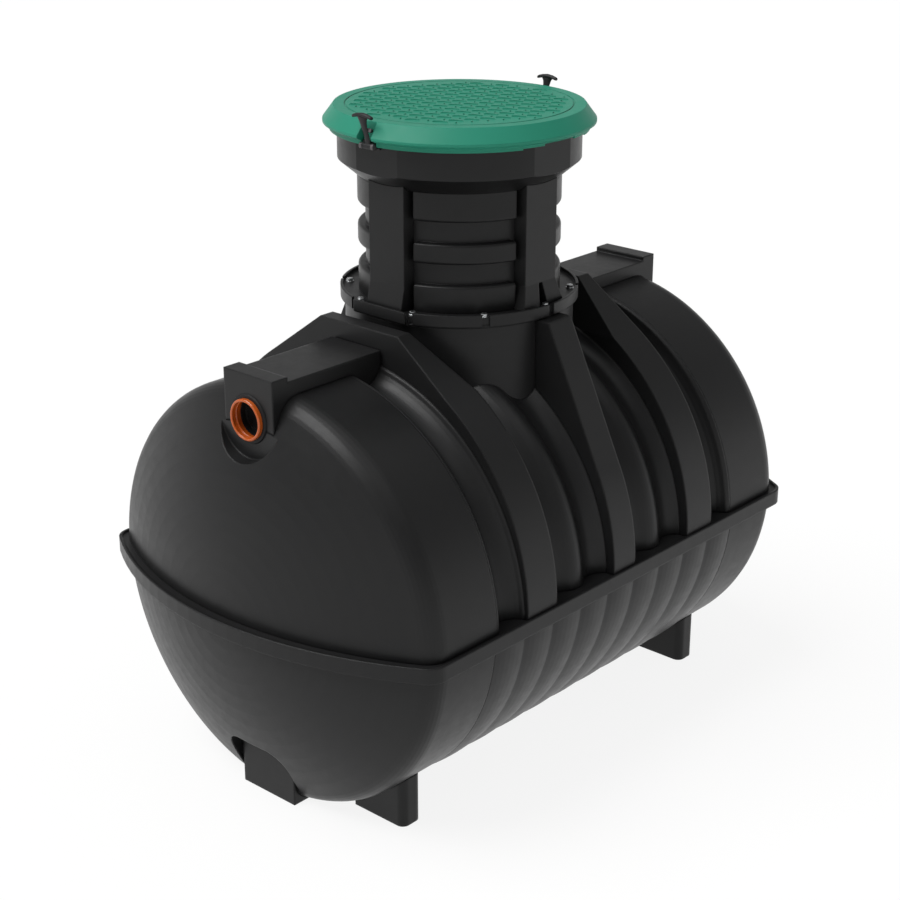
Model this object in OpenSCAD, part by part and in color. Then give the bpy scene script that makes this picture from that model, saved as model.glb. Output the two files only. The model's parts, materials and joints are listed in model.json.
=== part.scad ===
// Horizontal septic tank: a moulded shell with corrugated sides, dished ends and
// arched ribs, and a service riser that is bolted on and closed by a latched lid.
// X runs from the inlet end (-X) to the outlet end (+X), Z is up, the ground is z = 0
// and the riser stands on the Z axis. All sizes are in millimetres.

/* [Tank body] */
// Length over the rim flange
rim_length = 2062; // [1950:1:2200]
// How far the rim flange stands out beyond the shell's sides
rim_overhang = 20; // [14:1:30]
// How much tighter the rim flange's bowed ends are than the dished ends, in radius
end_bow = 10; // [0:1:40]
// Corner radius of the rim flange in plan
rim_corner = 63; // [50:1:90]
// How much of the round belly is cut off flat
belly_cut = 12; // [6:1:20]
// Radius of the round shell where it isn't corrugated
body_radius = 646; // [600:1:700]
// How far the upper half's axis lies below the top of the rim
upper_drop = 14; // [8:1:18]
// How far the rim flange stands out beyond the dished ends
end_overhang = 36; // [30:1:42]
// Radius of the two dished ends of the shell
dish_radius = 1230; // [1100:10:1400]
// Radius of the shoulder between shell and dished end
shoulder_radius = 75; // [40:1:100]
// Thickness of the moulded wall
wall = 9; // [6:0.5:11]
// Gap between the ground and the flat of the belly
ground_gap = 6; // [4:1:12]
// Height of the rim flange
rim_height = 42; // [30:1:50]
// How far the rim flange reaches inside the shell surface
rim_inset = 57; // [56:1:62]
// Height of the bead on the rim's outer edge
bead_height = 5; // [3:0.5:8]
// Width of that bead
bead_width = 9; // [6:1:14]

/* [Corrugations] */
// Width of one corrugation bay
bay = 127.3; // [118:0.1:136]
// Depth of the upper grooves below the round shell
groove_depth = 47; // [42:1:52]
// How far the crest between two upper grooves stays below the round shell
crest_drop = 17; // [10:1:24]
// How far that crest lies beyond the middle between its two ribs
crest_offset = 3.4; // [0:0.1:8]
// Rounding of that crest
crest_rounding = 60; // [40:1:64]
// Distance from that crest to the deepest line of the groove on each side of it
crest_reach = 83; // [76:1:90]
// Width of the upper groove between an outer rib and a dished end
end_groove_width = 120; // [112:1:128]
// Distance from the outer rib to the deepest line of that groove
end_groove_reach = 64; // [60:1:68]
// Rounding of the dished end's edge along that groove
dome_rounding = 20; // [12:1:28]
// Rise of each bulge on the lower half
bulge_rise = 5; // [3:0.5:7]

/* [Arched ribs] */
// How far a rib's two rounded flanks stand out beyond the shell's radius
rib_proud = 49; // [46:1:49]
// How far the centre of each flank lies beyond the tank's middle plane
rib_shift = 39; // [39:1:44]
// How far the ribs' flat tops stand over the top of the shell
rib_stand = 87; // [80:1:100]
// Half width of the flat top of the two outer ribs
rib_flat = 154; // [120:1:180]
// Half thickness of the middle rib along the tank
middle_half = 51; // [48:1:56]
// Half width of the flat top of the middle rib
middle_flat = 390; // [375:1:400]
// How far the inner side of an outer rib leans away from the neck at its top
rib_lean = 68; // [40:1:76]
// Height of that leaning stretch
rib_lean_height = 145; // [100:1:200]
// How far the outer side of an outer rib draws in at its top
rib_draft = 10; // [4:1:14]

/* [Pipe hoods] */
// Distance from a dished end's crown back to the front face of its hood
hood_setback = 130; // [120:1:140]
// Distance from a socket's side to the side of its hood
hood_side = 37; // [30:1:45]
// How far a hood's raised front stands over the top of the shell
hood_stand = 51; // [44:1:60]
// Length of the raised front
hood_step_length = 58; // [30:1:80]
// Height of the step behind the raised front
hood_step = 14; // [6:1:20]
// Depth of the pipe's axis below the top of the shell
pipe_drop = 77; // [72:1:82]
// How far the round pocket under a hood reaches beyond the hood's sides
pocket_side = 21; // [14:1:26]
// Thickness of a pipe socket
socket_wall = 4.8; // [4:0.1:6]
// Radius of the bore that takes the pipe
socket_bore = 55.2; // [54:0.1:56]
// How far a socket stands out from the hood's face
socket_reach = 17; // [12:1:30]
// Whole length of a socket
socket_length = 92; // [80:1:120]
// Depth of the bore down to its stop
socket_depth = 62; // [50:1:70]
// Width of the stop at the bottom of the bore
socket_stop = 4; // [3:0.5:6]
// Chamfer on the outside of the socket's mouth
socket_chamfer = 2; // [1:0.5:3]
// Width of the rubber seal's face round a socket
seal_width = 12; // [8:1:16]
// Thickness of the seal on each side of the hood's face
seal_lip = 5; // [3:0.5:8]
// Thickness of the seal between the socket and its hole
seal_web = 4; // [2:0.5:6]

/* [Feet] */
// Distance from a dished end's crown back to its foot's face
end_foot_setback = 148; // [140:1:156]
// Length of an end foot along the tank
end_foot_length = 62; // [50:1:70]
// Half width of an end foot
end_foot_half = 108; // [95:1:120]
// Thickness of an end foot where it lies in its pocket
foot_plate = 12; // [8:1:16]
// Height of the pocket over an end foot
end_pocket_top = 192; // [180:1:210]
// Rounding of the pocket's two upper corners
end_pocket_round = 70; // [40:1:90]
// Width that the pocket is open beside the foot
end_pocket_side = 14; // [8:1:20]
// Distance along the tank between the corrugated barrel and a side foot
side_foot_gap = 71.2; // [60:0.1:80]
// Thickness of a side foot
side_foot_thick = 78; // [60:1:85]
// Distance from the tank's middle plane to a side foot's near edge
side_foot_near = 236; // [200:1:260]
// Distance from the tank's middle plane to a side foot's far edge
side_foot_far = 430; // [410:1:450]
// Rounding of a side foot's upright corners
side_foot_round = 24; // [10:1:30]

/* [Neck and riser] */
// Outside radius of the neck
neck_radius = 345; // [340:1:348]
// Thickness of the neck's flange under the riser
neck_flange_thick = 6; // [4:1:10]
// Thickness of the rubber gasket under the riser
gasket_thick = 3; // [2:0.5:5]
// How far the riser's base flange stands out beyond the neck
flange_over = 14; // [12:1:20]
// Thickness of the base flange's plate
flange_plate = 20; // [12:1:24]
// Height of the raised lip round the base flange, over its plate
lip_rise = 11; // [6:1:16]
// Thickness of that lip
lip_thick = 8; // [6:0.5:9]
// How far the lip hangs down over the neck's flange
lip_drop = 4; // [0:0.5:8]
// Half length of the flange's straight sides, which face the two pipes
flange_straight = 112; // [105:1:118]
// How far each straight side is set in from the flange's round edge
flange_cut = 8; // [6:1:10]
// Number of bolts round the flange
bolts = 10; // [8:2:12]
// Distance from the neck's side in to the circle of bolts
bolt_inset = 11; // [8:1:15]
// Width of the slot through the lip beside each bolt
lip_slot = 22; // [10:1:26]
// Width of the slot up a pilaster's foot that leaves room for a bolt
foot_slot = 36; // [30:1:44]
// Width of that slot at its top
foot_slot_top = 16; // [10:1:24]
// How far the riser's bands lie inside the neck's side
riser_inset = 42; // [38:1:46]
// Depth of the grooves between the bands
riser_groove = 23; // [15:1:26]
// Height of the lowest band
band_low = 80; // [70:1:90]
// Height of each groove
groove_height = 63; // [55:1:70]
// Height of the middle band
band_mid = 60; // [50:1:70]
// Height of the top band, up to the collar
band_top = 85; // [75:1:95]
// Rounding of the bands' edges
band_round = 9; // [4:1:12]
// How far the pilasters' flat faces stand out beyond the bands
pilaster_proud = 12; // [8:1:16]
// Half width of a pilaster
pilaster_half = 68; // [60:1:72]
// Width of the upright channel beside each pilaster
channel_width = 15; // [8:1:18]
// How far a pilaster's foot flares out
pilaster_flare = 15; // [8:1:18]
// Height of that flare
flare_height = 68; // [50:1:80]
// Extra half width of the feet of the two pilasters with a bolt in them
flare_widen = 20; // [10:1:24]

/* [Collar and lid] */
// How far the collar under the lid stands out beyond the riser's bands
collar_over = 57; // [50:1:64]
// Height of the collar's sloping underside
collar_slope = 48; // [40:1:56]
// Height of the collar's upright wall
collar_height = 98; // [92:1:104]
// How far the collar's four flats are set in from its round
collar_cut = 9; // [6:1:12]
// Thickness of the collar's upright wall at its round
collar_wall = 19; // [16:1:24]
// How far the inside of the collar's slope lies above the outside
collar_floor = 8; // [6:1:12]
// How far the lid stands out beyond the collar
lid_over = 41; // [38:1:46]
// Width of the lid's bevel, from its edge in to the flat top
bevel_width = 31; // [26:1:36]
// Width of the smooth border between the bevel and the fine ring groove
ring_border = 36; // [25:1:48]
// Height of the lid's top above the collar's rim
lid_rise = 57; // [50:1:64]
// Drop of the lid's bevel
lid_bevel = 41; // [36:1:44]
// How far the lid's top falls from its middle to its bevel
lid_crown = 2.5; // [1:0.5:6]
// Depth and half width of that ring groove
lid_groove = 2.5; // [1.5:0.5:4]
// Upright height of the lid's edge
lid_edge = 7; // [4:1:10]
// How far the outside of the lid's skirt stands out beyond the collar
skirt_over = 22; // [20:1:26]
// Thickness of the lid's skirt
skirt_thick = 8; // [5:0.5:10]
// How far the skirt hangs below the collar's rim
skirt_drop = 14; // [10:1:20]
// Thickness of the lid's top
lid_thick = 14; // [10:1:18]
// Gap between the lid's plug and the inside of the collar
lid_seat_gap = 5; // [3:0.5:8]
// Width of the notch for a latch at the top of the lid's edge
notch_width = 46; // [40:1:52]
// Width of the notch at the bottom of the skirt
notch_foot = 60; // [54:1:66]
// Depth of the notch, in from the lid's edge
notch_depth = 31; // [29:1:32]
// Half angle of the gaps in the skirt
skirt_gap = 10; // [6:1:12]
// Half angle of the shallow step to each side of such a gap
skirt_step_gap = 21; // [16:1:26]
// Height of that step
skirt_step = 4; // [3:1:6]

/* [Latches] */
// Distance of a latch's pin from the flat of the collar
pin_stand = 34; // [32:0.5:36]
// How far the pin lies below the collar's rim
pin_drop = 14; // [12:1:18]
// Radius of the pin
pin_radius = 4; // [3:0.5:5]
// Running clearance of the pin in the latch's eye
pin_clearance = 0.05; // [0.02:0.01:0.1]
// Radius of the pin's two heads
pin_head_radius = 9; // [7:0.5:10]
// Length of each head
pin_head_length = 9; // [4:0.5:10]
// Outside radius of the latch's eye
eye_radius = 9; // [8:0.5:10]
// Width of a latch's strap
strap_width = 24; // [18:1:26]
// Thickness of the strap
strap_thick = 8; // [6:0.5:9]
// How far the closed latch leans outwards, in degrees
latch_lean = 12; // [8:0.5:14]
// Distance of the T handle's underside from the pin
handle_height = 80; // [78:1:86]
// Thickness of the T handle at its middle
handle_thick = 17; // [14:1:20]
// Width of the T handle across the lid's edge
handle_width = 68; // [60:1:76]
// Radius of the T handle's arched back
handle_arc = 85; // [70:1:120]
// How far the T handle reaches in beyond the strap
handle_grip = 6; // [3:0.5:8]
// Gap between the strap and each ear of its bracket
ear_gap = 0.5; // [0.3:0.1:1]
// Thickness of a bracket's ears
ear_thick = 5; // [4:0.5:6]
// Thickness of the bracket's foot plate
bracket_plate = 5; // [4:0.5:6]

/* [Hidden] */
$fn = 96;

plastic = "#2f2f30";
lid_green = "#2f8f6f";
pipe_orange = "#c85a28";
rubber = "#1b1b1c";
steel = "#b9bcbf";

arc_steps = 12;
groove_steps = 8;
bulge_steps = 6;
bays = 9;
band_steps = 4;
far = rim_length;
// Least corner radius of the rim's inner outlines
least_corner = 12;
// The space inside the barrel is cut this much longer than the barrel
inner_stretch = 1.01;
// How far a rib's slope starts inside its flank, so that the two cross cleanly
rib_tuck = 0.5;

axis_z = ground_gap + body_radius - belly_cut;
upper_z = axis_z - upper_drop;
rim_z = axis_z - rim_height;
shell_top = upper_z + body_radius;
body_half = rim_length / 2 - end_overhang;
barrel_half = bays / 2 * bay;

rib_radius = body_radius + rib_proud;
rib_top = shell_top + rib_stand;
rib_inner = (bays / 2 - 2) * bay;
rib_outer = rib_inner + bay;
groove_floor_radius = body_radius - groove_depth;
groove_crest_radius = body_radius - crest_drop;
crest_x = (middle_half + rib_inner) / 2 + crest_offset;
upper_start = rib_outer + end_groove_width;

socket_radius = socket_bore + socket_wall;
pipe_z = shell_top - pipe_drop;
hood_x = body_half - hood_setback;
hood_half = socket_radius + hood_side;
hood_top = shell_top + hood_stand;
hood_low_top = hood_top - hood_step;
pocket_radius = hood_half + pocket_side;
end_foot_x = body_half - end_foot_setback;
side_foot_x = barrel_half + side_foot_gap + side_foot_thick;

flange_radius = neck_radius + flange_over;
flange_flat = flange_radius - flange_cut;
bolt_circle = neck_radius - bolt_inset;
riser_radius = neck_radius - riser_inset;
riser_core = riser_radius - riser_groove;
pilaster_face = riser_radius + pilaster_proud;
collar_radius = riser_radius + collar_over;
collar_flat = collar_radius - collar_cut;
collar_bore = collar_radius - collar_wall;
lid_radius = collar_radius + lid_over;
lid_top_radius = lid_radius - bevel_width;
lid_ring_radius = lid_top_radius - ring_border;
lid_seat = collar_bore - lid_seat_gap;
skirt_radius = collar_radius + skirt_over;
pin_reach = collar_flat + pin_stand;

neck_top = rib_top;
gasket_z = neck_top + neck_flange_thick;
flange_z = gasket_z + gasket_thick;
plate_z = flange_z + flange_plate;
groove_low_z = plate_z + band_low;
band_mid_z = groove_low_z + groove_height;
groove_high_z = band_mid_z + band_mid;
band_top_z = groove_high_z + groove_height;
collar_z = band_top_z + band_top;
collar_wall_z = collar_z + collar_slope;
collar_top = collar_wall_z + collar_height;
lid_top = collar_top + lid_rise;
lid_bevel_z = lid_top - lid_crown;
lid_edge_top = lid_bevel_z - lid_bevel;
lid_edge_low = lid_edge_top - lid_edge;
skirt_z = collar_top - skirt_drop;
pin_z = collar_top - pin_drop;
ear_half = strap_width / 2 + ear_gap;

// Shape functions

// Quarter of the plan outline of the rim, from the end's middle to the long side.
// inset moves the whole outline inwards; rounding is the corner's radius.
function quarter(half_length, half_width, arc, rounding) =
    let (
        arc_x = half_length - arc,
        corner_y = half_width - rounding,
        corner_x = arc_x + sqrt(pow(arc - rounding, 2) - pow(corner_y, 2)),
        turn = asin(corner_y / (arc - rounding))
    )
    concat(
        [for (i = [0:arc_steps])
            [arc_x + arc * cos(turn * i / arc_steps), arc * sin(turn * i / arc_steps)]],
        [for (i = [1:arc_steps / 2])
            let (a = turn + (90 - turn) * i / (arc_steps / 2))
            [corner_x + rounding * cos(a), corner_y + rounding * sin(a)]]
    );

function reversed(points) = [for (i = [len(points) - 1:-1:0]) points[i]];

// The whole outline, mirrored from its quarter
function outline(q) = concat(
    q,
    reversed([for (p = q) [-p[0], p[1]]]),
    [for (i = [1:len(q) - 1]) [-q[i][0], -q[i][1]]],
    reversed([for (i = [1:len(q) - 1]) [q[i][0], -q[i][1]]])
);

function rim_outline(inset) = outline(quarter(
    rim_length / 2 - inset, body_radius + rim_overhang - inset,
    dish_radius - end_bow - inset, max(rim_corner - inset, least_corner)));

function body_quarter(inset) = quarter(
    body_half - inset, body_radius - inset,
    dish_radius - inset, shoulder_radius - inset);

function tail(points) = [for (i = [1:len(points) - 1]) points[i]];

// Rise over a groove's floor at u from its deepest line: a plain arc up to an edge
function rise_to_edge(u, half, rise) =
    let (r = (half * half + rise * rise) / (2 * rise))
    r - sqrt(r * r - u * u);

// The same up to a rounded crest
function rise_to_crest(u, half, rise, rounding) =
    let (
        trough = (half * half - pow(rounding, 2) + pow(rise - rounding, 2)) / (2 * rise),
        reach = half * trough / (rounding + trough)
    )
    u <= reach
        ? trough - sqrt(trough * trough - u * u)
        : rise - rounding + sqrt(pow(rounding, 2) - pow(half - u, 2));

// Points [radius, x] from a groove's deepest line to one of its borders
function groove_side(deep, border, rise, rounding) = [
    for (i = [0:groove_steps])
        let (
            x = deep + (border - deep) * i / groove_steps,
            u = abs(x - deep),
            half = abs(border - deep)
        )
        [groove_floor_radius + (rounding > 0
            ? rise_to_crest(u, half, rise, rounding)
            : rise_to_edge(u, half, rise)), x]
];

deep_inner = crest_x - crest_reach;
deep_outer = crest_x + crest_reach;
deep_end = rib_outer + end_groove_reach;
crest_rise = groove_crest_radius - groove_floor_radius;
dome_rise = body_radius - groove_floor_radius;

middle_grooves = concat(
    reversed(groove_side(deep_inner, middle_half, crest_rise, 0)),
    tail(groove_side(deep_inner, crest_x, crest_rise, crest_rounding)),
    tail(reversed(groove_side(deep_outer, crest_x, crest_rise, crest_rounding))),
    tail(groove_side(deep_outer, rib_inner, crest_rise, 0))
);
end_groove = concat(
    reversed(groove_side(deep_end, rib_outer, dome_rise, 0)),
    tail(groove_side(deep_end, upper_start, dome_rise, dome_rounding))
);

// Radius of the lower bulge at u from the middle of its bay
bulge_arc = (pow(bay / 2, 2) + pow(bulge_rise, 2)) / (2 * bulge_rise);
function bulge_radius(u) =
    body_radius + bulge_rise - bulge_arc + sqrt(pow(bulge_arc, 2) - u * u);

function bulge_profile() = [
    for (b = [0:bays - 1])
        for (i = [b == 0 ? 0 : 1:bulge_steps])
            let (share = i / bulge_steps)
            [bulge_radius(bay * (share - 0.5)), bay * (b + share) - barrel_half]
];

// A wall of even thickness along a profile
function walled(profile) =
    concat(profile, reversed([for (p = profile) [p[0] - wall, p[1]]]));

// Solids of revolution about a level axis along the tank

module full_turn(points, height) {
    translate([0, 0, height])
        rotate([0, 90, 0])
            rotate_extrude($fn = 120)
                polygon(points);
}

module upper_half(points) {
    difference() {
        full_turn(points, upper_z);
        translate([-far, -far, -far])
            cube([2 * far, 2 * far, far + axis_z]);
    }
}

// The lower half, whose belly is flat along its middle. inset moves the flat up for
// the space inside, which then also runs out through the top.
module lower_half(points, inset) {
    low = ground_gap + inset;
    high = inset > 0 ? rim_z + 1 : rim_z;
    intersection() {
        full_turn(points, axis_z);
        translate([-far, -far, low])
            cube([2 * far, 2 * far, high - low]);
    }
}

// Profile of one end, at the +X side, filled in to the axis
function end_profile(inset, start) = concat(
    [for (p = body_quarter(inset)) [p[1], p[0]]],
    [[body_radius - inset, start], [0, start]]
);

// Profile of the grooves beside a rib, filled in to the axis
function filled(profile) = concat(
    profile,
    [[0, profile[len(profile) - 1][1]], [0, profile[0][1]]]
);

module tank_tube(radius) {
    translate([-far, 0, upper_z])
        rotate([0, 90, 0])
            cylinder(r = radius, h = 2 * far, $fn = 120);
}

module upright(radius) {
    cylinder(r = radius, h = 2 * far, $fn = 120);
}

// Pieces are drawn at the outlet end and at the back, and mirrored for the others

module at_end(inlet) {
    mirror([inlet ? 1 : 0, 0, 0])
        children();
}

module at_side(front) {
    mirror([0, front ? 1 : 0, 0])
        children();
}

// Lower half of the shell

module lower_barrel() {
    color(plastic)
        difference() {
            lower_half(filled(bulge_profile()), 0);
            lower_half(
                filled([for (p = bulge_profile()) [p[0] - wall, inner_stretch * p[1]]]), wall);
        }
}

// Pocket in a dished end with two rounded upper corners
module end_pocket(grow) {
    side = end_foot_half + end_pocket_side + grow;
    top = end_pocket_top + grow;
    translate([end_foot_x - foot_plate - grow, 0, 0])
        foot_arch(side, top, far);
}

module foot_arch(side, top, length) {
    r = end_pocket_round;
    rotate([90, 0, 90])
        linear_extrude(length) {
            translate([-side, 0])
                square([2 * side, top - r]);
            translate([r - side, 0])
                square([2 * (side - r), top]);
            for (x = [r - side, side - r])
                translate([x, top - r])
                    circle(r);
        }
}

module end_body() {
    difference() {
        lower_half(end_profile(0, barrel_half), 0);
        end_pocket(0);
    }
}

module lower_end(inlet) {
    color(plastic)
        at_end(inlet)
            difference() {
                end_body();
                difference() {
                    lower_half(end_profile(wall, barrel_half - 1), wall);
                    end_pocket(wall);
                }
            }
}

module end_foot(inlet) {
    color(plastic)
        at_end(inlet)
            difference() {
                translate([end_foot_x - end_foot_length, 0, 0])
                    foot_arch(end_foot_half, end_pocket_top, end_foot_length);
                end_body();
            }
}

// A slab in plan whose two far corners are rounded
module round_slab(thick, length) {
    r = side_foot_round;
    square([thick, length - r]);
    translate([r, 0])
        square([thick - 2 * r, length]);
    for (x = [r, thick - r])
        translate([x, length - r])
            circle(r);
}

module side_foot(inlet, front) {
    color(plastic)
        at_end(inlet)
            at_side(front)
                difference() {
                    translate([side_foot_x - side_foot_thick, side_foot_near, 0])
                        linear_extrude(axis_z / 2)
                            round_slab(side_foot_thick, side_foot_far - side_foot_near);
                    lower_half(end_profile(0, barrel_half), 0);
                }
}

// Rim flange

module rim_ring(low, height, inset) {
    difference() {
        translate([0, 0, low])
            linear_extrude(height)
                polygon(rim_outline(0));
        translate([0, 0, low - 1])
            linear_extrude(height + 2)
                polygon(rim_outline(inset));
    }
}

module rim_flange() {
    color(plastic) {
        rim_ring(rim_z, rim_height, rim_overhang + rim_inset);
        rim_ring(axis_z, bead_height, bead_width);
    }
}

// Upper half of the shell

// The space inside a hood, which is one with the tank's
module hood_inside() {
    half = hood_half - wall;
    translate([rib_outer - 1, -half, pipe_z])
        cube([hood_x - wall - rib_outer + 1, 2 * half, hood_low_top - wall - pipe_z]);
}

module pipe_pocket(grow) {
    translate([hood_x - grow, 0, pipe_z])
        rotate([0, 90, 0])
            cylinder(r = pocket_radius + grow, h = far);
}

// Hole for a socket and its seal, wider behind the wall for the seal's inner side
module pipe_hole() {
    translate([rib_outer, 0, pipe_z])
        rotate([0, 90, 0]) {
            cylinder(r = socket_radius + seal_web, h = far);
            cylinder(r = socket_radius + seal_width, h = hood_x - wall - rib_outer);
        }
}

module upper_end(inlet) {
    color(plastic)
        at_end(inlet)
            difference() {
                upper_half(end_profile(0, upper_start));
                pipe_pocket(0);
                difference() {
                    full_turn(end_profile(wall, upper_start - 1), upper_z);
                    pipe_pocket(wall);
                }
                hood_inside();
                pipe_hole();
            }
}

module hood(inlet) {
    length = hood_x - rib_outer;
    low = pipe_z - socket_radius;
    color(plastic)
        at_end(inlet)
            difference() {
                union() {
                    translate([rib_outer, -hood_half, low])
                        cube([length, 2 * hood_half, hood_low_top - low]);
                    translate([hood_x - hood_step_length, -hood_half, low])
                        cube([hood_step_length, 2 * hood_half, hood_top - low]);
                }
                hood_inside();
                full_turn(end_profile(0, upper_start), upper_z);
                full_turn(filled(end_groove), upper_z);
                pipe_hole();
            }
}

module upper_bay(inlet) {
    color(plastic)
        at_end(inlet)
            difference() {
                upper_half(walled(end_groove));
                hood_inside();
            }
}

module groove_bays(inlet, front) {
    color(plastic)
        at_end(inlet)
            at_side(front)
                difference() {
                    upper_half(walled(middle_grooves));
                    upright(neck_radius);
                    translate([-far, -2 * far, 0])
                        cube([2 * far, 2 * far, 2 * far]);
                }
}

// Arched ribs

rib_rise = rib_top - axis_z;

// Section of a rib across the tank: two rounded flanks and a flat top whose sloping
// sides run smoothly into them, all moved inwards by inset
module rib_section(flat, inset) {
    radius = rib_radius - inset;
    reach = sqrt(pow(flat + rib_shift, 2) + pow(rib_rise, 2));
    touch = atan2(rib_rise, flat + rib_shift) - acos(rib_radius / reach);
    side = (radius - rib_tuck) * cos(touch) - rib_shift;
    side_z = (radius - rib_tuck) * sin(touch);
    half = flat - inset * tan((90 - touch) / 2);
    intersection_for (x = [-rib_shift, rib_shift])
        translate([x, 0])
            circle(radius, $fn = 120);
    polygon([
        [0, 0],
        [side, side_z],
        [half, rib_rise - inset],
        [-half, rib_rise - inset],
        [-side, side_z]
    ]);
}

module rib_prism(flat, inset) {
    rotate([90, 0, 90])
        translate([0, axis_z, 0])
            linear_extrude(far)
                rib_section(flat, inset);
}

// Side view of an outer rib: upright, with its inner side leaning off at the top
module outer_rib_side(inset) {
    lean_z = rib_top - rib_lean_height;
    polygon([
        [rib_inner + inset, axis_z],
        [rib_inner + inset, lean_z],
        [rib_inner + rib_lean + inset, rib_top + 1],
        [rib_outer - rib_draft - inset, rib_top + 1],
        [rib_outer - inset, lean_z],
        [rib_outer - inset, axis_z]
    ]);
}

module middle_rib_side(inset) {
    translate([inset - middle_half, axis_z])
        square([2 * (middle_half - inset), rib_rise + 1]);
}

// Turns a side view into a slab across the tank
module across() {
    rotate([90, 0, 0])
        translate([0, 0, -far])
            linear_extrude(2 * far)
                children();
}

module outer_rib_solid(inset) {
    intersection() {
        rib_prism(rib_flat, inset);
        across()
            outer_rib_side(inset);
    }
}

module middle_rib_solid(inset) {
    intersection() {
        translate([-far / 2, 0, 0])
            rib_prism(middle_flat, inset);
        across()
            middle_rib_side(inset);
    }
}

module outer_rib(inlet) {
    color(plastic)
        at_end(inlet)
            difference() {
                outer_rib_solid(0);
                outer_rib_solid(wall);
                tank_tube(groove_crest_radius - wall);
                upright(neck_radius);
            }
}

module middle_rib(front) {
    color(plastic)
        at_side(front)
            difference() {
                middle_rib_solid(0);
                middle_rib_solid(wall);
                tank_tube(groove_crest_radius - wall);
                upright(neck_radius);
                translate([-far, -2 * far, 0])
                    cube([2 * far, 2 * far, 2 * far]);
            }
}

// Pipe sockets and their seals

module along_pipe(inlet) {
    at_end(inlet)
        translate([hood_x, 0, pipe_z])
            rotate([0, 90, 0])
                children();
}

module socket(inlet) {
    mouth = socket_reach;
    stop = mouth - socket_depth;
    inner = socket_bore - socket_stop;
    back = mouth - socket_length;
    color(pipe_orange)
        along_pipe(inlet)
            rotate_extrude()
                polygon([
                    [inner, back],
                    [socket_radius, back],
                    [socket_radius, mouth - socket_chamfer],
                    [socket_radius - socket_chamfer, mouth],
                    [socket_bore + 1, mouth],
                    [socket_bore, mouth - 1],
                    [socket_bore, stop],
                    [inner, stop]
                ]);
}

module seal(inlet) {
    hole = socket_radius + seal_web;
    face = socket_radius + seal_width;
    color(rubber)
        along_pipe(inlet)
            rotate_extrude()
                polygon([
                    [socket_radius, -wall - seal_lip],
                    [face, -wall - seal_lip],
                    [face, -wall],
                    [hole, -wall],
                    [hole, 0],
                    [face, 0],
                    [face - seal_lip / 2, seal_lip],
                    [socket_radius, seal_lip]
                ]);
}

// Neck

module neck() {
    color(plastic)
        difference() {
            cylinder(r = neck_radius, h = neck_top, $fn = 120);
            translate([0, 0, -1])
                cylinder(r = neck_radius - wall, h = neck_top + 2, $fn = 120);
            tank_tube(groove_floor_radius - wall);
            translate([-far, -far, -far])
                cube([2 * far, 2 * far, far + axis_z]);
        }
}

// Outline of the riser's flange: round, with straight sides towards the pipes
module flange_outline(inset) {
    intersection() {
        circle(flange_radius - inset, $fn = 120);
        square([2 * (flange_flat - inset), 2 * flange_radius], center = true);
    }
    square([2 * (flange_flat - inset), 2 * (flange_straight - inset)], center = true);
}

module flange_ring(low, height, bore) {
    translate([0, 0, low])
        linear_extrude(height)
            difference() {
                flange_outline(lip_thick);
                circle(bore, $fn = 120);
            }
}

module neck_flange() {
    color(plastic)
        flange_ring(neck_top, neck_flange_thick, neck_radius - wall);
}

module riser_gasket() {
    color(rubber)
        flange_ring(gasket_z, gasket_thick, neck_radius - wall);
}

// Riser

module riser_flange() {
    low = flange_z - lip_drop;
    color(plastic) {
        flange_ring(flange_z, flange_plate, riser_core - wall);
        difference() {
            translate([0, 0, low])
                linear_extrude(flange_plate + lip_drop + lip_rise)
                    difference() {
                        flange_outline(0);
                        flange_outline(lip_thick);
                    }
            for (i = [0:bolts - 1])
                rotate(90 + 360 * i / bolts)
                    translate([bolt_circle, -lip_slot / 2, low - 1])
                        cube([far, lip_slot, far]);
        }
    }
}

// Radius and height points of one band with rounded edges
function band_points(low, high) = concat(
    [for (i = [0:band_steps]) let (a = -90 + 90 * i / band_steps)
        [riser_radius - band_round + band_round * cos(a), low + band_round + band_round * sin(a)]],
    [for (i = [0:band_steps]) let (a = 90 * i / band_steps)
        [riser_radius - band_round + band_round * cos(a), high - band_round + band_round * sin(a)]]
);

module riser_wall() {
    channel = pilaster_half + channel_width;
    color(plastic)
        difference() {
            rotate_extrude($fn = 120)
                polygon(concat(
                    [[riser_core - wall, plate_z], [riser_core, plate_z]],
                    [[riser_radius, plate_z]],
                    [for (p = band_points(plate_z, groove_low_z)) if (p[1] > plate_z + 2 * band_round) p],
                    [[riser_core, groove_low_z]],
                    [[riser_core, band_mid_z]],
                    band_points(band_mid_z, groove_high_z),
                    [[riser_core, groove_high_z]],
                    [[riser_core, band_top_z]],
                    [for (p = band_points(band_top_z, collar_z)) if (p[1] < collar_z - band_round) p],
                    [[riser_radius, collar_z], [riser_core - wall, collar_z]]
                ));
            difference() {
                union() {
                    for (turn = [0, 90])
                        rotate(turn)
                            translate([-far, -channel, plate_z - 1])
                                cube([2 * far, 2 * channel, collar_z - plate_z + 2]);
                    for (turn = [90, 270])
                        rotate(turn)
                            foot_prism(flare_widen);
                }
                translate([0, 0, plate_z - 2])
                    cylinder(r = riser_core, h = collar_z - plate_z + 4, $fn = 120);
            }
        }
}

flare_z = plate_z + flare_height;

// The flare of a pilaster's foot across its width
module foot_prism(widen) {
    foot = pilaster_half + widen;
    rotate([90, 0, 90])
        linear_extrude(far)
            polygon([
                [-foot, plate_z],
                [foot, plate_z],
                [pilaster_half, flare_z],
                [-pilaster_half, flare_z]
            ]);
}

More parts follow.
